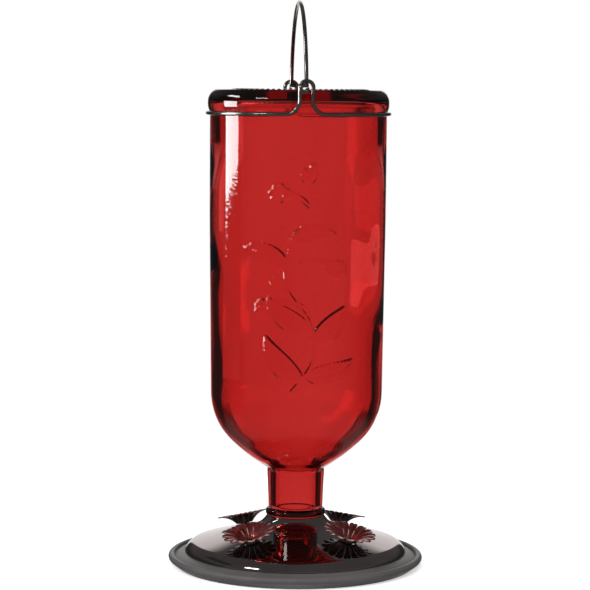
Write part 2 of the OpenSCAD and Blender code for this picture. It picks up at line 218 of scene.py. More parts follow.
def shoulder(t, end_r, steps):
    """The shoulder's two arcs, from the body in to end_r, for a wall set in by t."""
    upper = (shoulder_edge_r - SHOULDER_R, SHOULDER_Z)
    step = (SHOULDER_LOW_R - SHOULDER_R) * math.cos(math.radians(45))
    lower = (upper[0] - step, upper[1] + step)
    end = -math.degrees(math.acos((end_r - lower[0]) / (SHOULDER_LOW_R - t)))
    tight, wide = SHOULDER_R - t, SHOULDER_LOW_R - t
    return arc(upper, tight, 0, -45, steps) + arc(lower, wide, -46, end, steps)


punt_w = HEEL_R - HEEL_ROUND - BEARING_W
punt_r = (punt_w**2 + PUNT_DEPTH**2) / (2 * PUNT_DEPTH)
punt_end = math.degrees(math.asin(punt_w / punt_r)) - 90
outside = arc((0, BEARING_Z - PUNT_DEPTH + punt_r), punt_r, -90, punt_end, 12)
heel_top = math.degrees(math.asin((BEARING_Z - HEEL_MIDDLE_Z) / HEEL_ROUND))
edge = arc((HEEL_R - HEEL_ROUND, HEEL_MIDDLE_Z), HEEL_ROUND, heel_top, 0, 18)
outside += rows(outside[-1], (edge[0][0] - 0.6, BEARING_Z), 0.7)
outside += edge[1:]
for i in range(9):
    share = i / 8
    drop = (1 - math.cos(math.pi * share)) / 2
    outside.append((HEEL_R - (HEEL_R - BODY_R) * drop, STEP_TOP + (STEP_LOW - STEP_TOP) * share))
outside += rows((BODY_R, STEP_LOW), (BODY_R, PANEL_TOP), ROW)
outside += rows((BODY_R, PANEL_TOP), (BODY_R, SHOULDER_Z + TAPER_H), CLOSE_ROW)
outside += rows((BODY_R, SHOULDER_Z + TAPER_H), (shoulder_edge_r, SHOULDER_Z), CLOSE_ROW)
side = shoulder(0, NECK_R + NECK_FLARE, 14)
outside += side[1:]
neck_top = side[-1][1] - 0.5
for i in range(1, 13):
    share = i / 12
    flare = NECK_FLARE * (1 - share) ** 1.5
    outside.append((NECK_R + flare, neck_top + (bead_top_z + 0.4 - neck_top) * share))
bead_round, mouth_end_z = BEAD_H / 2.2, finish_z + MOUTH_ROUND
outside += arc((BEAD_R - bead_round, bead_top_z - bead_round), bead_round, 90, 0, 8)
outside += arc((BEAD_R - BEAD_LOW_ROUND, bead_z + BEAD_LOW_ROUND), BEAD_LOW_ROUND, 0, -90, 5)
outside += rows((FINISH_R, bead_z), (FINISH_R, mouth_end_z), THREAD_ROW)
outside += arc((FINISH_R - MOUTH_ROUND, mouth_end_z), MOUTH_ROUND, 0, -90, 4)

# %% The bottle's inner wall
THIN_T, THIN_TOP, THIN_LOW, THIN_LEAN, THIN_EASE = 2.1, 196.0, 139.0, 13.0, 13.0
INNER_ROW = 3.0


def ease(value, low, high):
    """Rises smoothly from 0 at low to 1 at high."""
    share = min(1.0, max(0.0, (value - low) / (high - low)))
    return share * share * (3 - 2 * share)


def thinner(co):
    """How much thinner the body's glass is at a point: it was blown out the most at the sides."""
    radius = math.hypot(co.x, co.y)
    low = THIN_LOW - THIN_LEAN * co.x / radius
    at_side = 1 - ease(abs(co.y) / radius, 0.3, 0.75)
    thin = ease(THIN_TOP - co.z, -THIN_EASE, THIN_EASE) * at_side
    return (GLASS_T - THIN_T) * thin * ease(co.z - low, -THIN_EASE, THIN_EASE)


heel_in = HEEL_ROUND - GLASS_T
heel_c = (BODY_R - GLASS_T - heel_in, BEARING_Z - BASE_T - heel_in)
dome_r = (heel_c[0] ** 2 + PUNT_DEPTH**2) / (2 * PUNT_DEPTH)
dome_end = math.degrees(math.asin(heel_c[0] / dome_r)) - 90
inside = arc((0, BEARING_Z - BASE_T - PUNT_DEPTH + dome_r), dome_r, -90, dome_end, 10)
inside += arc(heel_c, heel_in, 90, 0, 8)
straight_side = rows(inside[-1], (0, SHOULDER_Z), INNER_ROW)
inside += [(body_r(z) - GLASS_T, z) for _, z in straight_side]
side = shoulder(GLASS_T, BORE_R + 0.5, 14)
inside += side[1:]
inside += rows((BORE_R, side[-1][1] - 1), (BORE_R, finish_z), INNER_ROW)
bottle_mesh = turned(outside + inside[::-1], BOTTLE_STEPS)
print("bottle: %d faces before the raised work" % len(bottle_mesh.faces))

# %% [markdown]
# ## Raised work on the glass
#
# Such bottles are blown into a mould that is cut with a picture, so the picture stands a
# fraction of a millimetre proud of the glass. Here it is a sprig of trumpet vine. Every part
# of it is a stroke: a line with a radius at each point. A stem is a thin even stroke, a leaf
# one that swells and closes again. The glass rises steeply over the first 1.1 mm inside a
# stroke's edge, which numpy works out for all the points of a finely divided panel at once.

# %% Strokes of the sprig
RIB_DEPTH, TRUMPET_H, LOBE_SPREAD = 0.5, 0.95, 38


def curve(points, count=14):
    """Points on a smooth line through a few control points."""
    ends = [points[0], *points, points[-1]]
    found = []
    for p0, p1, p2, p3 in zip(ends, ends[1:], ends[2:], ends[3:]):
        for i in range(count):
            t = i / count
            found.append([
                0.5 * (2 * b + (c - a) * t + (2 * a - 5 * b + 4 * c - d) * t**2
                       + (3 * b - a - 3 * c + d) * t**3)
                for a, b, c, d in zip(p0, p1, p2, p3)
            ])
    return found + [list(points[-1])]


def stroke(points, radius, height):
    """A stroke from a line, with a radius that is a function of the share of its length."""
    last = len(points) - 1
    return [(x, z, radius(i / last)) for i, (x, z) in enumerate(points)], height


def curled(base, angle, length, curl, steps):
    """Points on a line that leaves base at an angle and curls to one side."""
    turn = math.radians(angle)
    line = []
    for i in range(steps + 1):
        t = i / steps
        a = turn + math.radians(curl) * t
        line.append((base[0] + length * t * math.cos(a), base[1] + length * t * math.sin(a)))
    return line


def leaf(base, angle, length, width, curl, height=1.0):
    """A pointed leaf with a mid-rib, growing from base at an angle and curling to one side."""
    line = curled(base, angle, length, curl, 14)
    blade = stroke(line, lambda t: 0.25 + width / 2 * math.sin(math.pi * t**0.8) ** 0.9, height)
    rib = stroke(line, lambda t: 0.7, -RIB_DEPTH)
    return [blade, rib]


def trumpet(base, angle, length, curl):
    """A trumpet flower: a tube that opens into a mouth with five lobes."""
    line = curled(base, angle, length, curl, 12)
    found = [stroke(line, lambda t: 1.3 + 0.9 * t + 2.2 * t**5, TRUMPET_H)]
    mouth, out = line[-1], math.radians(angle) + math.radians(curl) * 1.6
    for lobe in range(5):
        a = math.degrees(out) + (lobe - 2) * LOBE_SPREAD
        found += leaf(mouth, a, 6.4 - 0.5 * abs(lobe - 2), 4.6, 0, TRUMPET_H)
    throat = [mouth, (mouth[0] + math.cos(out), mouth[1] + math.sin(out))]
    found.append(stroke(throat, lambda t: 1.7, -RIB_DEPTH))
    return found


def tendril(base, angle, size, hand):
    """A thin tendril that winds up in a spiral."""
    line = []
    for i in range(46):
        t = i / 45
        a = math.radians(angle) + hand * 11.5 * t**1.25
        step = size * (1 - 0.86 * t) / 9
        x, z = line[-1] if line else base
        line.append((x + step * math.cos(a), z + step * math.sin(a)))
    return [stroke(line, lambda t: 0.8 - 0.25 * t, 0.7)]


# %% The sprig, laid out on the panel
stem = curve([(-3, 91), (7, 106), (5, 124), (-6, 141), (-4, 160), (5, 177), (3, 190)])
strokes = [stroke(stem, lambda t: 1.25 - 0.45 * t, 0.85)]
strokes += trumpet((5, 178), 125, 15, 30) + trumpet((1, 152), 18, 17, -28)
strokes += trumpet((1, 132), 155, 17, 30)
strokes += leaf((-5.5, 149), 135, 25, 10.5, 22) + leaf((-4, 162), 32, 23, 9.5, -25)
strokes += leaf((6.5, 115), 25, 24, 11, 20) + leaf((6, 121), 172, 26, 10.5, -28)
strokes += leaf((2, 97), 160, 28, 11, -30) + leaf((3, 99), -12, 27, 10.5, 28)
strokes += leaf((4, 189), 60, 11, 5.5, 18) + leaf((3, 189), 100, 9, 4, 0)
strokes += tendril((6.5, 124), 48, 9, 1) + tendril((-6, 139), 200, 8.5, -1)
strokes += tendril((5, 176), 10, 9, 1) + tendril((-5, 160), 160, 8, -1)
print("sprig: %d strokes" % len(strokes))

# %% Height of the sprig at a point
FLANK = 1.1


def relief(points):
    """Height of the raised work at points (x, z), x being measured round the body."""
    raised, cut = np.zeros(len(points)), np.zeros(len(points))
    for line, height in strokes:
        line = np.array(line)
        a, b = line[:-1], line[1:]
        depth = np.full(len(points), -9.0)
        for p, q in zip(a, b):
            along = q[:2] - p[:2]
            share = np.clip((points - p[:2]) @ along / max(along @ along, 1e-9), 0, 1)
            gap = np.linalg.norm(points - p[:2] - share[:, None] * along, axis=1)
            depth = np.maximum(depth, p[2] + (q[2] - p[2]) * share - gap)
        rise = np.clip(depth / FLANK, 0, 1)
        rise = rise * rise * (3 - 2 * rise)
        if height > 0:
            raised = np.maximum(raised, height * rise)
        else:
            cut = np.maximum(cut, -height * rise)
    return np.maximum(raised - cut, 0)


# %% Press the sprig into the panel
RELIEF_TURN, PANEL_LEFT, PANEL_RIGHT = math.radians(-3.5), -0.69, 0.71


def turn_from_front(co):
    """Angle of a point round the axis, from the middle of the raised work."""
    return (math.atan2(co.y, co.x) - FRONT - RELIEF_TURN + math.pi) % (2 * math.pi) - math.pi


def is_outer(co):
    """Whether a point lies on the body's outer side."""
    return math.hypot(co.x, co.y) > body_r(co.z) - 1.0


panel = [
    face for face in bottle_mesh.faces
    if PANEL_LOW < (centre := face.calc_center_median()).z < PANEL_TOP
    and is_outer(centre) and PANEL_LEFT < turn_from_front(centre) < PANEL_RIGHT
]
panel_edges = list({edge for face in panel for edge in face.edges})
bmesh.ops.subdivide_edges(bottle_mesh, edges=panel_edges, cuts=3, use_grid_fill=True)
skin = [v for v in bottle_mesh.verts if SHOULDER_Z < v.co.z < PANEL_TOP + 2 and is_outer(v.co)]
heights = relief(np.array([[body_r(v.co.z) * turn_from_front(v.co), v.co.z] for v in skin]))
for vertex, height in zip(skin, heights):
    grow = (body_r(vertex.co.z) + height) / from_axis(vertex)
    vertex.co.x *= grow
    vertex.co.y *= grow
print("panel: %d points, raised up to %.2f mm" % (len(skin), heights.max()))

# %% [markdown]
# ## Knurled base, thread and uneven walls
#
# The base stands on a ring of small bumps, which keep the hot glass off the belt when it
# leaves the mould. The mouth carries a screw thread. Inside, blown glass is never quite
# even, and that is what makes the light swim in it: the inner wall is moved by a slow noise.
# At the two sides of the body the wall is thinner, which shapes the dark bands seen there.

# %% Bumps round the base
BUMPS, BUMP_R, BUMP_W, BUMP_H, BUMP_SPAN = 90, 39.6, 2.3, 0.5, math.radians(52)
ring_edges = [
    edge for edge in bottle_mesh.edges
    if abs(edge.verts[0].co.z - edge.verts[1].co.z) < 1e-3
    and edge.verts[0].co.z > BEARING_Z - 2
    and abs(from_axis(edge.verts[0]) - from_axis(edge.verts[1])) < 1e-3
    and BUMP_R - BUMP_W < from_axis(edge.verts[0]) < BUMP_R + BUMP_W
]
bmesh.ops.subdivide_edges(bottle_mesh, edges=ring_edges, cuts=3)
for vertex in bottle_mesh.verts:
    radius = from_axis(vertex)
    if vertex.co.z > BEARING_Z - 2 and BUMP_R - BUMP_W < radius < BUMP_R + BUMP_W:
        angle = math.atan2(vertex.co.y, vertex.co.x)
        off = math.acos(min(1.0, abs(vertex.co.y) / radius))
        wave = max(0.0, math.cos(BUMPS * angle)) ** 0.7
        fade = math.cos(math.pi / 2 * (radius - BUMP_R) / BUMP_W) ** 0.5
        vertex.co.z += BUMP_H * wave * fade * (1 - ease(off, BUMP_SPAN - 0.06, BUMP_SPAN))
print("base: %d bumps to a full turn" % BUMPS)

# %% Thread on the mouth
THREAD_PITCH, THREAD_H, THREAD_LOW, THREAD_TOP = 4.23, 0.9, 1.2, 11.2
THREAD_STEEP, THREAD_START = 3.4, 1.5


def thread_share(vertex, offset):
    """Share of the thread's height at a vertex, for a thread moved by a part of a turn."""
    turn = math.atan2(vertex.co.y, vertex.co.x) / (2 * math.pi)
    phase = ((vertex.co.z - finish_z) / THREAD_PITCH - turn + offset) % 1 - 0.5
    return max(0.0, 1 - (abs(phase) * THREAD_STEEP) ** 2)


for vertex in bottle_mesh.verts:
    above = vertex.co.z - finish_z
    if THREAD_LOW < above < THREAD_TOP and abs(from_axis(vertex) - FINISH_R) < 0.1:
        start = min(1.0, (above - THREAD_LOW) / THREAD_START, (THREAD_TOP - above) / THREAD_START)
        push(vertex, THREAD_H * start * thread_share(vertex, 0.5))

# %% Uneven inner wall
WAVE_H, WAVE_W, WAVE_LEN, WAVE_LOW, WAVE_TOP = 0.28, 22, 60, 52.0, BEARING_Z - 7
for vertex in bottle_mesh.verts:
    x, y, z = vertex.co
    if WAVE_LOW < z < WAVE_TOP and BORE_R + 0.4 < from_axis(vertex) < body_r(z) - 1.5:
        place = Vector((x / WAVE_W, y / WAVE_W, z / WAVE_LEN))
        sway = noise.noise(place) + 0.5 * noise.noise(place * 2.3)
        push(vertex, WAVE_H * sway + thinner(vertex.co))
bottle = piece(bottle_mesh, "glass_bottle")

# %% [markdown]
# ## The wires
#
# A wire is a circle that travels. Each bend is the spin operator again, this time through
# part of a turn only, and each straight is an extrusion. The ring is drawn for one quarter,
# from its side up to the top of a loop, and mirrored twice. Its loops lean out, so that they
# clear the heel, and so the bends turn about slanted axes.

# %% Bending a wire
def start_wire(at, along, sides=20):
    """A circle of wire at a point, square to its direction. Returns the mesh and its open end."""
    mesh = bmesh.new()
    place = Matrix.Translation(at) @ Vector(along).to_track_quat("Z", "X").to_matrix().to_4x4()
    made = bmesh.ops.create_circle(mesh, segments=sides, radius=WIRE_R, matrix=place)
    return mesh, made["verts"] + list(mesh.edges)


def bend(mesh, end, centre, axis, degrees, step=6.0):
    """Bends the wire's open end round an axis through centre. Returns its new end."""
    made = bmesh.ops.spin(
        mesh, geom=end, cent=centre, axis=axis, dvec=(0, 0, 0),
        angle=math.radians(degrees), steps=max(2, round(abs(degrees) / step)),
        use_merge=False, use_duplicate=False,
    )
    return made["geom_last"]


def straight(mesh, end, move):
    """Runs the wire's open end straight on by a vector. Returns its new end."""
    made = bmesh.ops.extrude_edge_only(mesh, edges=only(bmesh.types.BMEdge, end))["geom"]
    bmesh.ops.translate(mesh, vec=move, verts=only(bmesh.types.BMVert, made))
    return only((bmesh.types.BMVert, bmesh.types.BMEdge), made)


# %% Where the ring's wire runs
ring_r = BODY_R + WIRE_GAP + WIRE_R
lean_r = ring_r + LOOP_BEND_R * math.sin(LOOP_LEAN)
loop_turn = math.asin(LOOP_HALF_W / math.hypot(lean_r, LOOP_BEND_R))
loop_turn += math.atan(LOOP_BEND_R / lean_r)
ring_end = Vector((ring_r * math.sin(loop_turn), ring_r * math.cos(loop_turn), 0))
ring_dir = Vector((-math.cos(loop_turn), math.sin(loop_turn), 0))
leg_dir = Vector((
    math.sin(LOOP_LEAN) * math.sin(loop_turn),
    math.sin(LOOP_LEAN) * math.cos(loop_turn),
    math.cos(LOOP_LEAN),
))
leg_start = ring_end + LOOP_BEND_R * (ring_dir + leg_dir)
spread = math.asin(leg_dir.x)
leg_up = Vector((0, leg_dir.y, leg_dir.z)) / math.cos(spread)
top_share = (1 + math.sin(spread)) / math.cos(spread)
leg_len = (LOOP_RISE - leg_start.z - leg_start.x * top_share * leg_up.z) / (
    leg_dir.z + leg_dir.x * top_share * leg_up.z
)
leg_end = leg_start + leg_len * leg_dir
loop_top_r = leg_end.x / math.cos(spread)
loop_top_y = leg_end.y + loop_top_r * (1 + math.sin(spread)) * leg_up.y
pivot_z = RING_Z + LOOP_RISE - 2 * WIRE_R - WIRE_GAP
print("loops reach out to %.2f mm, pivots at %.2f mm" % (loop_top_y, pivot_z))

# %% The ring with its two loops
ring_mesh, end = start_wire((ring_r, 0, 0), (0, 1, 0))
end = bend(ring_mesh, end, (0, 0, 0), (0, 0, 1), 90 - math.degrees(loop_turn), 3.0)
end = bend(ring_mesh, end, ring_end + LOOP_BEND_R * leg_dir, ring_dir.cross(leg_dir), 90)
end = straight(ring_mesh, end, leg_len * leg_dir)
loop_c = Vector((0, leg_end.y, leg_end.z)) + loop_top_r * math.sin(spread) * leg_up
bend(ring_mesh, end, loop_c, leg_dir.cross(Vector((-1, 0, 0))), 90 + math.degrees(spread))
for axis in "XY":
    bmesh.ops.mirror(
        ring_mesh, geom=whole(ring_mesh), matrix=Matrix.Identity(4), merge_dist=0.01, axis=axis,
    )
bmesh.ops.remove_doubles(ring_mesh, verts=ring_mesh.verts, dist=0.01)
bmesh.ops.recalc_face_normals(ring_mesh, faces=ring_mesh.faces)
bmesh.ops.translate(ring_mesh, vec=(0, 0, RING_Z), verts=ring_mesh.verts)
ring = piece(ring_mesh, "wire_ring")

# %% [markdown]
# The bail is one hoop. Each end turns out through a loop and winds into a small curl that
# keeps it there. Its two halves are the same one turned round, which is how a wire bent
# twice on the same jig comes out, so the second half is a copy turned by half a turn.

# %% The bail
bail_y = loop_top_y - 2 * WIRE_R - SEAT_GAP - WIRE_GAP + BAIL_BEND_R
curl_y = loop_top_y + 2 * WIRE_R + SEAT_GAP
bail_lean = math.pi / 2 - 2 * math.atan(BAIL_RISE / bail_y)
bail_r = bail_y / math.cos(bail_lean) - BAIL_BEND_R
hoop_turn = 90 - math.degrees(bail_lean)
bail_mesh, end = start_wire((0, 0, BAIL_RISE), (0, 1, 0))
end = bend(bail_mesh, end, (0, 0, BAIL_RISE - bail_r), (1, 0, 0), -hoop_turn, 4.0)
end = bend(bail_mesh, end, (0, bail_y, BAIL_BEND_R), (1, 0, 0), hoop_turn, 12.0)
end = straight(bail_mesh, end, (0, curl_y - BAIL_BEND_R - bail_y, 0))
end = bend(bail_mesh, end, (BAIL_BEND_R, curl_y - BAIL_BEND_R, 0), (0, 0, 1), -90, 15.0)
end = bend(bail_mesh, end, (BAIL_BEND_R, curl_y, -CURL_R), (0, 1, 0), 290, 15.0)
tip = only(bmesh.types.BMEdge, end)
bmesh.ops.contextual_create(bail_mesh, geom=tip)
bmesh.ops.bevel(
    bail_mesh, geom=tip, offset=0.25, segments=3, profile=0.5, affect="EDGES", material=-1,
)
copy_round(bail_mesh, whole(bail_mesh), math.pi)
bmesh.ops.remove_doubles(bail_mesh, verts=bail_mesh.verts, dist=0.01)
bmesh.ops.recalc_face_normals(bail_mesh, faces=bail_mesh.faces)
bmesh.ops.translate(bail_mesh, vec=(0, 0, pivot_z), verts=bail_mesh.verts)
bail = piece(bail_mesh, "wire_bail", 40)

# %% [markdown]
# ## The cover and its holes
#
# The cover is spun from thin sheet on a lathe, so it is turned here too. Its edges are
# rounded by the polish. The four holes for the eyelets are cut with a Boolean modifier,
# which is then applied, because a hole across a curved sheet has no simpler operator.

# %% Cutting with a tool shape
def cut(target, tools):
    """Cuts the tool objects out of the target's mesh and removes them."""
    for tool in tools:
        modifier = target.modifiers.new("cut", "BOOLEAN")
        modifier.operation, modifier.solver, modifier.object = "DIFFERENCE", "EXACT", tool
    graph = bpy.context.evaluated_depsgraph_get()
    made = bpy.data.meshes.new_from_object(target.evaluated_get(graph))
    target.modifiers.clear()
    target.data = made
    for tool in tools:
        bpy.data.objects.remove(tool)


def at_flower(i):
    """Where flower i sits on the cover: its matrix in millimetres."""
    return (
        Matrix.Rotation(math.radians((i - 0.5) * 90), 4, "Z")
        @ Matrix.Translation((PORT_RING_R, 0, port_z))
        @ Matrix.Rotation(COVER_SLOPE, 4, "Y")
    )


# %% The cover
collar_deg, slope_deg = math.degrees(COLLAR_SLOPE), math.degrees(COVER_SLOPE)
edge_deg = math.degrees(EDGE_SLOPE)


def cover_curve(t):
    """The cover's outline from the collar to the edge, set in by t."""
    collar = arc(collar_c, COLLAR_CURVE_R + t, 270 - collar_deg, 270 - slope_deg, 16)
    edge = arc(edge_c, EDGE_CURVE_R - t, 90 - slope_deg, 90 - edge_deg, 16)
    return collar + rows(collar[-1], edge[0], 3.0)[:-1] + edge


def rounded_end(start, end):
    """Half a circle that closes a sheet's cut edge from start round to end."""
    middle = ((start[0] + end[0]) / 2, (start[1] + end[1]) / 2)
    angle = math.degrees(math.atan2(start[1] - middle[1], start[0] - middle[0]))
    return arc(middle, COVER_T / 2, angle, angle - 180, 6)[1:-1]


upper, lower = cover_curve(0), cover_curve(COVER_T)[::-1]
outline = upper + rounded_end(upper[-1], lower[0]) + lower + rounded_end(lower[-1], upper[0])
cover = piece(turned(outline, COVER_STEPS, closed=True), "domed_cover")
hole_r = FEED_R + EYELET_T + EYELET_GAP
drills = []
for i in range(1, 5):
    drill = bmesh.new()
    bmesh.ops.create_cone(
        drill, cap_ends=True, segments=48, radius1=hole_r, radius2=hole_r, depth=8,
        matrix=at_flower(i),
    )
    drills.append(piece(drill, "drill_%d" % i))
cut(cover, drills)
print("cover: %d faces with its holes" % len(cover.data.polygons))

# %% [markdown]
# ## The tray
#
# The tray is one plastic moulding: a foot, a rounded lip with a gutter inside it, a ledge
# under the cover's edge, a rim that keeps the cover central, the floor, and a threaded
# socket in the middle with slots that let the nectar out. Its corners get a small bevel.

# %% The tray's outline
SOCKET_THREAD_H, TRAY_SHARP, TRAY_BEVEL = 0.8, 32, 0.00025
floor_top = FLOOR_Z + TRAY_WALL
register_top = LEDGE_Z + REGISTER_H
register_r = edge_c[0] - SEAT_GAP + math.sqrt(
    (EDGE_CURVE_R - COVER_T) ** 2 - (register_top - edge_c[1]) ** 2
)
groove_top = LEDGE_Z - TRAY_WALL
socket_out = SOCKET_R + TRAY_WALL
socket_top = collar_c[1] - SEAT_GAP - math.sqrt(
    (COLLAR_CURVE_R + COVER_T) ** 2 - (collar_c[0] - socket_out) ** 2
)
outline = [(0, FLOOR_Z), (register_r, FLOOR_Z), (register_r, groove_top)]
outline += [(FOOT_R - FOOT_W, groove_top), (FOOT_R - FOOT_W, 0), (FOOT_R, 0)]
outline += arc((TRAY_R - LIP_R, LIP_Z), LIP_R, -50, 165, 18)
outline += [(COVER_R + LEDGE_BARE, LEDGE_Z), (register_r, LEDGE_Z), (register_r, register_top)]
outline += [(register_r - TRAY_WALL, register_top), (register_r - TRAY_WALL, floor_top)]
outline += [(socket_out, floor_top), (socket_out, socket_top), (SOCKET_R, socket_top)]
outline += rows((SOCKET_R, socket_top), (SOCKET_R, floor_top), 0.8) + [(0, floor_top)]
tray_mesh = turned(outline, TRAY_STEPS)

# %% The socket's thread and slots
for vertex in tray_mesh.verts:
    above = vertex.co.z - finish_z
    in_thread = THREAD_LOW < above < socket_top - finish_z - 1
    if in_thread and abs(from_axis(vertex) - SOCKET_R) < 0.1:
        push(vertex, -SOCKET_THREAD_H * thread_share(vertex, 0.0))
tray = piece(tray_mesh, "moulded_tray", TRAY_SHARP)
slots = []
for i in range(4):
    block = bmesh.new()
    place = Matrix.Rotation(math.radians(90 * i), 4, "Z") @ Matrix.Translation(
        (SOCKET_R + TRAY_WALL / 2, 0, floor_top + SLOT_H / 2)
    ) @ Matrix.Diagonal((3 * TRAY_WALL, SLOT_W, SLOT_H, 1))
    bmesh.ops.create_cube(block, size=1, matrix=place)
    slots.append(piece(block, "slot_%d" % i))
cut(tray, slots)
soften = tray.modifiers.new("soften", "BEVEL")
soften.width, soften.segments, soften.limit_method = TRAY_BEVEL, 2, "ANGLE"
soften.angle_limit = math.radians(TRAY_SHARP)

# %% [markdown]
# ## The flowers
#
# A flower is pressed from one disc of sheet metal: fifteen tongues are slit free, channelled
# along their middle and bent up, steep at the hub and nearly level at the tip. One petal
# starts as a flat grid whose points are moved to their place on the bent tongue. It is
# copied round, the copies are merged along the hub, and the sheet then gets its thickness.

# %% One petal
petal_pitch = 2 * math.pi / PETALS
petal_curve_r = (FLOWER_R - HUB_R) / (math.sin(PETAL_RISE) - math.sin(PETAL_TIP))
PETAL_ROWS, PETAL_COLS, HUB_ROWS = 18, 8, 3
TIP_START, TIP_LEN, TIP_POWER, TIP_LEAST = 0.68, 0.32, 2.6, 0.3


def petal_point(row, across):
    """A point of the bent tongue: row counts out from the hub's hole, across runs from -1 to 1."""
    if row <= HUB_ROWS:
        radius = hole_r + (HUB_R - hole_r) * row / HUB_ROWS
        angle = petal_pitch / 2 * across
        return radius * math.cos(angle), radius * math.sin(angle), 0.0
    share = (row - HUB_ROWS) / (PETAL_ROWS - HUB_ROWS)
    slope = PETAL_RISE - (PETAL_RISE - PETAL_TIP) * share
    radius = HUB_R + petal_curve_r * (math.sin(PETAL_RISE) - math.sin(slope))
    height = petal_curve_r * (math.cos(slope) - math.cos(PETAL_RISE))
    free = petal_pitch / 2 - math.asin(PETAL_SLIT / 2 / radius) * min(1.0, share * 5)
    round_off = math.sqrt(max(0.0, 1 - max(0.0, (share - TIP_START) / TIP_LEN) ** TIP_POWER))
    half = free * max(TIP_LEAST, round_off)
    lift = PETAL_CHANNEL * across**2 * min(1.0, share * 2.5)
    angle = half * across
    return radius * math.cos(angle), radius * math.sin(angle), height + lift


flower_mesh = bmesh.new()
bmesh.ops.create_grid(flower_mesh, x_segments=PETAL_ROWS, y_segments=PETAL_COLS, size=1)
for vertex in flower_mesh.verts:
    row = round((vertex.co.x + 1) / 2 * PETAL_ROWS)
    vertex.co = petal_point(row, vertex.co.y)
one = whole(flower_mesh)
for k in range(1, PETALS):
    copy_round(flower_mesh, one, petal_pitch * k)
bmesh.ops.remove_doubles(flower_mesh, verts=flower_mesh.verts, dist=0.005)
bmesh.ops.recalc_face_normals(flower_mesh, faces=flower_mesh.faces)
if flower_mesh.faces[0].normal.z < 0:
    bmesh.ops.reverse_faces(flower_mesh, faces=flower_mesh.faces)
bmesh.ops.solidify(flower_mesh, geom=flower_mesh.faces[:], thickness=PETAL_T)
INNER_SIDE = "inner_side"
inner_layer = flower_mesh.faces.layers.float.new(INNER_SIDE)
for face in flower_mesh.faces:
    face[inner_layer] = 1.0 if face.normal.z > 0.1 else 0.0
print("flower sheet from %.2f to %.2f mm" % (
    min(v.co.z for v in flower_mesh.verts), max(v.co.z for v in flower_mesh.verts)))

# %% Four flowers
flowers = []
flower_low = min(v.co.z for v in flower_mesh.verts if from_axis(v) < HUB_R)
for i in range(1, 5):
    mesh = flower_mesh.copy()
    bmesh.ops.translate(mesh, vec=(0, 0, EYELET_GAP - flower_low), verts=mesh.verts)
    bmesh.ops.transform(mesh, matrix=at_flower(i), verts=mesh.verts)
    flower = piece(mesh, "flower_petals_%d" % i)
    rounder = flower.modifiers.new("rounder", "SUBSURF")
    rounder.levels = rounder.render_levels = 1
    flowers.append(flower)
flower_mesh.free()

# %% [markdown]
# ## The eyelets
#
# A brass eyelet goes through the hub of each flower and the cover, and is rolled over at
# both ends. Its bore is the feeding hole. It is turned, with a fat rolled rim on top.

# %% Four eyelets
EYELET_BEVEL = 0.15
shank_r = FEED_R + EYELET_T
eyelet_top, eyelet_low = EYELET_GAP + PETAL_T + EYELET_GAP, -COVER_T - EYELET_GAP
flange_low = eyelet_low - EYELET_T
outline = [(FEED_R, flange_low + EYELET_BEVEL), (FEED_R + EYELET_BEVEL, flange_low)]
outline += [(FLANGE_R, flange_low), (FLANGE_R, eyelet_low), (shank_r, eyelet_low)]
outline += [(shank_r, eyelet_top)]
outline += arc((FLANGE_R - EYELET_T / 2, eyelet_top + EYELET_T / 2), EYELET_T / 2, -90, 90, 8)
outline += [(shank_r, eyelet_top + EYELET_T), (FEED_R, eyelet_top + EYELET_T / 2)]
eyelets = []
for i in range(1, 5):
    mesh = turned(outline, EYELET_STEPS, closed=True)
    bmesh.ops.transform(mesh, matrix=at_flower(i), verts=mesh.verts)
    eyelets.append(piece(mesh, "brass_eyelet_%d" % i, 35))

# %% [markdown]
# ## Finishes
#
# Every finish is a small network of shader nodes. A class wraps one output socket and lets
# Python's operators add the Math nodes, so that a finish reads like a formula. Another one
# holds a node tree and adds any node with its settings and its inputs.

# %% Writing shader maths
class Field:
    """A value or colour that changes over a surface."""

    def __init__(self, tree, socket):
        self.tree, self.socket = tree, socket

    def _math(self, operation, *values):
        return self.tree.node("ShaderNodeMath", {"operation": operation}, dict(enumerate(values)))

    def __add__(self, other):
        return self._math("ADD", self, other)

    def __radd__(self, other):
        return self._math("ADD", other, self)

    def __sub__(self, other):
        return self._math("SUBTRACT", self, other)

    def __rsub__(self, other):
        return self._math("SUBTRACT", other, self)

    def __mul__(self, other):
        return self._math("MULTIPLY", self, other)

    def __gt__(self, other):
        return self._math("GREATER_THAN", self, other)

    def __abs__(self):
        return self._math("ABSOLUTE", self)

    def most(self, other):
        return self._math("MAXIMUM", self, other)

    def ease(self, low, high):
        """Rises smoothly from 0 at low to 1 at high."""
        return self.tree.node(
            "ShaderNodeMapRange", {"interpolation_type": "SMOOTHSTEP"},
            {"Value": self, "From Min": low, "From Max": high},
        )

    def fade(self, low, high):
        """Falls smoothly from 1 at low to 0 at high."""
        return 1 - self.ease(low, high)


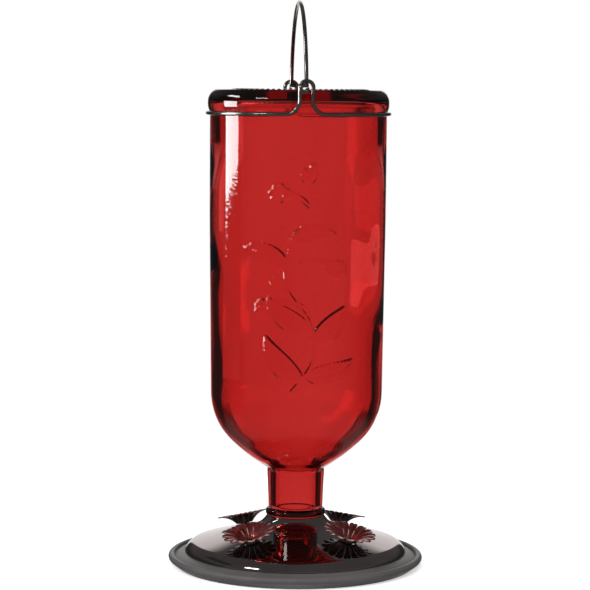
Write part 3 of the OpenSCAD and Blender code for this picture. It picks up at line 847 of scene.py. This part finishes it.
class Tree:
    """A node tree in the making."""

    def __init__(self, owner):
        owner.use_nodes = True
        self.nodes, self.links = owner.node_tree.nodes, owner.node_tree.links
        self.nodes.clear()

    def node(self, kind, settings=None, inputs=None, output=0):
        """Adds a node: first its settings, then the values or links of its sockets."""
        made = self.nodes.new(kind)
        for name, value in (settings or {}).items():
            setattr(made, name, value)
        for name, value in (inputs or {}).items():
            if isinstance(value, Field):
                self.links.new(value.socket, made.inputs[name])
            else:
                made.inputs[name].default_value = value
        return Field(self, made.outputs[output])

    def mix(self, share, first, second):
        """Mixes two colours, each a Field or a tuple."""
        colours = [c if isinstance(c, Field) else (*c, 1) for c in (first, second)]
        return self.node(
            "ShaderNodeMix", {"data_type": "RGBA"}, {0: share, 6: colours[0], 7: colours[1]}, 2
        )

    def coordinates(self, kind="Object"):
        """The three coordinates of a point, one field each."""
        spot = self.node("ShaderNodeTexCoord", output=kind)
        return [self.node("ShaderNodeSeparateXYZ", None, {0: spot}, k) for k in range(3)]

    def noise(self, scale, stretch=(1, 1, 1), detail=2.0, rough=0.5):
        """A noise pattern with so many swells to a metre, times the stretch along each axis."""
        spot = self.node("ShaderNodeTexCoord", output="Object")
        place = self.node("ShaderNodeMapping", None, {"Vector": spot, "Scale": stretch})
        return self.node(
            "ShaderNodeTexNoise", None,
            {"Vector": place, "Scale": scale, "Detail": detail, "Roughness": rough},
        )

    def ray(self, fact):
        """A fact about the ray that asks for the colour, such as what kind it is."""
        return self.node("ShaderNodeLightPath", output=fact)

    def end(self, kind, ends):
        """Adds the output node and links its sockets."""
        out = self.nodes.new(kind)
        for socket, field in ends.items():
            self.links.new(field.socket, out.inputs[socket])


def finish(name, principled, bump=None, volume=None):
    """A material from a function that gives the values of its Principled shader's sockets."""
    material = bpy.data.materials.new(name)
    tree = Tree(material)
    sockets = principled(tree)
    if bump:
        height, distance, strength = bump(tree)
        sockets["Normal"] = tree.node(
            "ShaderNodeBump", None,
            {"Height": height, "Distance": distance, "Strength": strength}, "Normal",
        )
    shader = tree.node("ShaderNodeBsdfPrincipled", None, sockets)
    ends = {"Surface": shader}
    if volume:
        ends["Volume"] = tree.node("ShaderNodeVolumeAbsorption", None, volume)
    tree.end("ShaderNodeOutputMaterial", ends)
    return material


# %% [markdown]
# ### Red glass
#
# Glass coloured through and through is darker where it is thicker, so most of the red comes
# from absorption inside the wall and only some from the surface. Beside the raised work the
# panel's border leans, which ends the long reflection of the lamp in a frayed line. There the
# normal is leant over to the left with vector maths, on the outer skin only.

# %% Red glass
FRAY_SWELLS, FRAY_W, FRAY_OUT = 600, 0.016, 0.0371
RIM_OUT, RIM_BEND_Z, RIM_STEP = 0.0293, 0.201, 0.0078
LEAN_OUT, LEAN_LOW, LEAN_TOP, OUTER_SKIN_R, LEAN = 0.0295, 0.095, 0.208, 0.0415, 0.75


def glass_sockets(tree):
    cloud = tree.noise(28, (1, 1, 0.35))
    colour = tree.mix(cloud.ease(0.3, 0.7), (0.795, 0.21, 0.20), (0.825, 0.26, 0.24))
    return {
        "Base Color": colour, "Roughness": 0.0, "IOR": 1.5, "Transmission Weight": 1.0,
        "Metallic": 0.0, "Normal": glass_normal(tree),
    }


def glass_normal(tree):
    """The surface's normal, leant over where the panel's border ends the long reflection."""
    x, y, z = tree.coordinates()
    rough_line = tree.noise(FRAY_SWELLS, (1, 1, 2.0), rough=0.7) - 0.5
    fray = rough_line * z.ease(0.135, 0.175) * FRAY_W
    step = (RIM_BEND_Z - z).ease(-0.004, 0.032) * RIM_STEP
    rim = x + RIM_OUT + step + fray * (x > -FRAY_OUT)
    zone = (rim > 0.0) * ((0 - x) > LEAN_OUT) * (z > LEAN_LOW) * ((LEAN_TOP - z) > 0.0)
    zone = zone * ((0 - y) > 0.0) * ((x * x + y * y) > OUTER_SKIN_R**2)
    lean = tree.node("ShaderNodeCombineXYZ", None, {0: zone * -LEAN})
    straight = tree.node("ShaderNodeNewGeometry", output="Normal")
    leaning = tree.node("ShaderNodeVectorMath", {"operation": "ADD"}, {0: straight, 1: lean})
    return tree.node("ShaderNodeVectorMath", {"operation": "NORMALIZE"}, {0: leaning})


glass = finish("red_glass", glass_sockets, volume={"Color": (0.82, 0.0, 0.0, 1), "Density": 120.0})

# %% [markdown]
# ### Metals
#
# The wires are black nickel over drawn steel: dark, half glossy, with a fine grain that shows
# as a slight unevenness. The cover has the same plating over a mirror polish, with a breath
# of haze and some rubbed spots. The flowers are lacquered in clear red on the side that faces
# the bird, so that light which bounces between two petals comes out a brighter red. Their
# other side is darker. An attribute of the mesh, written with the flowers, tells them apart.

# %% Dark wire and dark mirror
def wire_sockets(tree):
    drawn = tree.noise(900, detail=3.0)
    worn = tree.noise(160)
    colour = tree.mix(worn.ease(0.4, 0.7), (0.26, 0.24, 0.225), (0.40, 0.37, 0.345))
    return {"Base Color": colour, "Metallic": 1.0, "Roughness": 0.11 + drawn * 0.14}


def mirror_sockets(tree):
    haze = tree.noise(60, detail=3.0)
    rub = tree.noise(420, (1, 1, 6))
    colour = tree.mix(haze.ease(0.35, 0.7), (0.33, 0.285, 0.275), (0.38, 0.335, 0.325))
    return {"Base Color": colour, "Metallic": 1.0, "Roughness": 0.03 + haze * rub * 0.10}


wire = finish("black_nickel_wire", wire_sockets)
mirror = finish("black_nickel_mirror", mirror_sockets)

# %% Red lacquer and brass
def lacquer_sockets(tree):
    pool = tree.noise(350)
    inner = tree.node("ShaderNodeAttribute", {"attribute_name": INNER_SIDE}, output="Fac")
    red = tree.mix(pool.ease(0.35, 0.7), (0.27, 0.055, 0.052), (0.44, 0.075, 0.07))
    colour = tree.mix(inner, (0.13, 0.095, 0.09), red)
    return {
        "Base Color": colour, "Metallic": inner * 0.5 + 0.4, "Roughness": 0.22 + pool * 0.12,
        "Coat Weight": 0.6, "Coat Roughness": 0.05,
    }


def brass_sockets(tree):
    tarnish = tree.noise(500, detail=3.0)
    colour = tree.mix(tarnish.ease(0.4, 0.75), (0.80, 0.56, 0.20), (0.52, 0.34, 0.13))
    return {"Base Color": colour, "Metallic": 1.0, "Roughness": 0.14 + tarnish * 0.2}


lacquer = finish("red_lacquer", lacquer_sockets)
brass = finish("brass", brass_sockets)

# %% [markdown]
# ### Tray plastic
#
# The tray is dark grey plastic with a spark-eroded mould texture: a fine even grain that
# softens its gloss. A slow noise varies the gloss, as handling does.

# %% Tray plastic
GRAIN_DEPTH, GRAIN_STRENGTH = 0.00006, 0.35


def tray_sockets(tree):
    slow = tree.noise(45, detail=3.0)
    colour = tree.mix(slow.ease(0.3, 0.7), (0.075, 0.071, 0.071), (0.095, 0.089, 0.088))
    return {"Base Color": colour, "Roughness": 0.30 + slow * 0.14, "IOR": 1.5}


def tray_bump(tree):
    return tree.noise(2600, detail=1.0), GRAIN_DEPTH, GRAIN_STRENGTH


plastic = finish("tray_plastic", tray_sockets, tray_bump)

# %% Give the pieces their finishes, bodies and places
def dress(made, material, slot, body, *nodes):
    """Gives a piece its finish and says its body and the nodes it replaces. The slot is not used.
    """
    made.data.materials.clear()
    made.data.materials.append(material)
    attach(made, body)
    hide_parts(*nodes)


dress(bottle, glass, "red_glass", "bottle_body", "bottle")
dress(ring, wire, "dark_wire", "bottle_body", "hanger_ring")
dress(bail, wire, "dark_wire", "bail_body", "bail")
dress(cover, mirror, "dark_mirror", "cover_body", "cover")
dress(tray, plastic, "tray_plastic", "tray_body", "tray")
for i in range(4):
    dress(flowers[i], lacquer, "flower_enamel", "cover_body", "flower_%d" % (i + 1))
    dress(eyelets[i], brass, "eyelet_brass", "cover_body", "eyelet_%d" % (i + 1))

# %% [markdown]
# ## The studio
#
# Clear glass is only as good as what stands behind it. A photographer puts a white screen
# behind coloured glass and keeps the rest of the room dark: the glass glows, and its edges,
# which bend the light from the side, turn dark. The world does that here. What the camera
# sees straight on is white. What it sees through both walls of the bottle is white too. Other
# reflections and bent rays see the room: a lit screen at the back, a faintly lit table and dim
# walls. Rays bent by the glass also find a window band at the sides and a light overhead.

# %% The room
CAMERA_TURN = math.radians(4.6)
SCREEN_SIDE, SCREEN_END = math.radians(12.5), math.radians(15.5)
TABLE_GLOW, FRONT_GLOW, WALL_GLOW, LEAST_GLOW = 0.16, 0.10, 0.07, 0.03
SILL_GLOW, WINDOW_GLOW, CEILING_GLOW, BASE_SHADE = 0.5, 0.4, 0.5, 0.75
world = bpy.data.worlds.new("studio")
bpy.context.scene.world = world
room = Tree(world)
x, y, z = room.coordinates("Generated")
aside = abs(room.node("ShaderNodeMath", {"operation": "ARCTAN2"}, {0: x, 1: y}) - CAMERA_TURN)
bent_ray = room.ray("Is Transmission Ray")
screen = aside.fade(SCREEN_SIDE, SCREEN_END) * z.fade(0.36, 0.52)
table_light = z.fade(-0.55, -0.30) * TABLE_GLOW
front = aside.ease(1.4, 2.0) * z.fade(0.10, 0.45) * FRONT_GLOW
walls = front + z.ease(0.05, 0.35) * WALL_GLOW + LEAST_GLOW
window = z.ease(0.02, 0.10) * SILL_GLOW + z.ease(0.12, 0.25) * WINDOW_GLOW
window = window * z.fade(0.42, 0.50) * aside.ease(0.3, 0.5)
above = z.ease(0.62, 0.80) * CEILING_GLOW + window
mirrored = room.ray("Glossy Depth") > 0.5
base_view = bent_ray * mirrored * z.ease(0.42, 0.50)
seen = screen.most(table_light).most(walls + bent_ray * above) * (1 - base_view * BASE_SHADE)

# %% What each kind of ray sees of the room
straight_through = room.ray("Transmission Depth") > 3.5
through = bent_ray * straight_through * abs(z + 0.05).fade(0.15, 0.24)
through = through * aside.fade(0.6, 0.9) * (1 - mirrored)
camera_ray = room.ray("Is Camera Ray")
diffuse_ray = room.ray("Is Diffuse Ray")
white = through.most(camera_ray)
room_colour = room.mix(seen, (0.0, 0.0, 0.0), (1.0, 0.97, 0.965))
room_colour = room.mix(diffuse_ray, room_colour, (0.55, 0.55, 0.55))
room_colour = room.mix(white, room_colour, (1.0, 1.0, 1.0))
sky = room.node("ShaderNodeBackground", None, {"Color": room_colour, "Strength": 1.0})
room.end("ShaderNodeOutputWorld", {"Surface": sky})

# %% The floor
FLOOR_R, FLOOR_GLOW = 420, 0.5
floor_mesh = bmesh.new()
bmesh.ops.create_circle(floor_mesh, cap_ends=True, segments=96, radius=FLOOR_R)
floor = piece(floor_mesh, "studio_floor")
floor_material = bpy.data.materials.new("pale_floor")
sheet = Tree(floor_material)
paper = sheet.node("ShaderNodeBsdfDiffuse", None, {"Color": (0.85, 0.85, 0.85, 1)})
seen_glow = sheet.ray("Is Camera Ray") * FLOOR_GLOW
glow = sheet.node("ShaderNodeEmission", None, {"Color": (1, 1, 1, 1), "Strength": seen_glow})
both = sheet.node("ShaderNodeAddShader", None, {0: paper, 1: glow})
sheet.end("ShaderNodeOutputMaterial", {"Surface": both})
floor.data.materials.append(floor_material)
floor.visible_transmission = False
floor.visible_glossy = False

# %% [markdown]
# Each lamp lights one kind of ray, so that each can be set by itself. Mirror rays see the
# tall box at the left, which draws the long white reflection on the glass, the glint box in
# front of it, which puts glints on the bead and the petals, and the heel box above. Rays bent
# by the glass see the inner box at the left and the low box at the right. Two fills light
# what isn't shiny. Two dark cards hang between lamps and dome, as a photographer's do.

# %% The lamps
def round_from_camera(turn, distance, height):
    """A place beside the object, turned round the axis from the camera to the left."""
    a = CAMERA_TURN + math.radians(turn)
    return Vector((-distance * math.sin(a), -distance * math.cos(a), height))


def lamp(name, turn, distance, height, size, radiance, aim, rays):
    """A rectangular lamp for some kinds of rays, aimed at a point."""
    at = round_from_camera(turn, distance, height)
    light = bpy.data.lights.new(name, "AREA")
    light.shape, light.size, light.size_y = "RECTANGLE", size[0], size[1]
    light.energy = radiance * math.pi * size[0] * size[1]
    made = bpy.data.objects.new(name, light)
    made.location = at
    made.rotation_euler = (Vector(aim) - at).to_track_quat("-Z", "Y").to_euler()
    made.visible_glossy = "glossy" in rays
    made.visible_transmission = "transmission" in rays
    made.visible_diffuse = "diffuse" in rays
    made.visible_camera = False
    bpy.context.scene.collection.objects.link(made)


lamp("tall_box", 94, 1.0, 0.15, (0.42, 0.30), 14.5, (0, 0, 0.15), ("glossy",))
lamp("inner_box", 94, 1.01, 1.0, (0.42, 1.8), 4.0, (0, 0, 1.0), ("transmission",))
lamp("low_box", -94, 1.0, 0.045, (0.36, 0.065), 5.2, (0, 0, 0.045), ("transmission",))
lamp("glint_box", 50, 1.1, 0.80, (0.32, 0.11), 14.0, (0, 0, 0.05), ("glossy",))
lamp("heel_box", 99, 1.0, 0.80, (0.42, 0.14), 14.0, (0, 0, 0.235), ("glossy",))
lamp("side_fill", 80, 1.2, 0.8, (0.9, 0.9), 5.0, (0, 0, 0.1), ("diffuse",))
lamp("top_fill", 10, 0.9, 1.3, (1.4, 1.4), 2.6, (0, 0, 0.08), ("diffuse",))

# %% Two dark cards, which keep the lamps off the dome
grey = bpy.data.materials.new("grey_card")
card = Tree(grey)
dim = card.node("ShaderNodeEmission", None, {"Color": (0.05, 0.047, 0.046, 1), "Strength": 1.0})
card.end("ShaderNodeOutputMaterial", {"Surface": dim})


def dark_card(name, turn, distance, bottom, top, width):
    """A card between a lamp and the object, for mirror rays only. Lengths in metres."""
    card_mesh = bmesh.new()
    size = Matrix.Diagonal((2, width * 1000, (top - bottom) * 1000, 1))
    bmesh.ops.create_cube(card_mesh, size=1, matrix=size)
    made = piece(card_mesh, name)
    made.location = round_from_camera(turn, distance, (top + bottom) / 2)
    made.rotation_euler = (0, 0, math.pi / 2 - (CAMERA_TURN + math.radians(turn)))
    made.data.materials.append(grey)
    made.visible_camera = made.visible_diffuse = made.visible_transmission = False


dark_card("tall_box_card", 94, 0.25, 0.0, 0.08, 0.22)
dark_card("heel_box_card", 99, 0.50, 0.30, 0.44, 0.40)

# %% The camera
CAMERA_AWAY, CAMERA_HEIGHT, CAMERA_PITCH, CAMERA_ROLL = 1.090, 0.2337, 5.28, 0.45
FOCAL_PX, FRAME_PX, AXIS_SHIFT_PX = 2240.0, 590, 2.1
camera_data = bpy.data.cameras.new("camera")
camera_data.sensor_width = 36.0
camera_data.lens = FOCAL_PX * camera_data.sensor_width / FRAME_PX
camera_data.shift_x = -AXIS_SHIFT_PX / FRAME_PX
camera = bpy.data.objects.new("camera", camera_data)
camera.matrix_world = (
    Matrix.Translation(round_from_camera(0, CAMERA_AWAY, CAMERA_HEIGHT))
    @ Matrix.Rotation(-CAMERA_TURN, 4, "Z")
    @ Matrix.Rotation(math.radians(90 - CAMERA_PITCH), 4, "X")
    @ Matrix.Rotation(math.radians(CAMERA_ROLL), 4, "Z")
)
bpy.context.scene.collection.objects.link(camera)
bpy.context.scene.camera = camera
bpy.context.scene.view_settings.view_transform = "Standard"
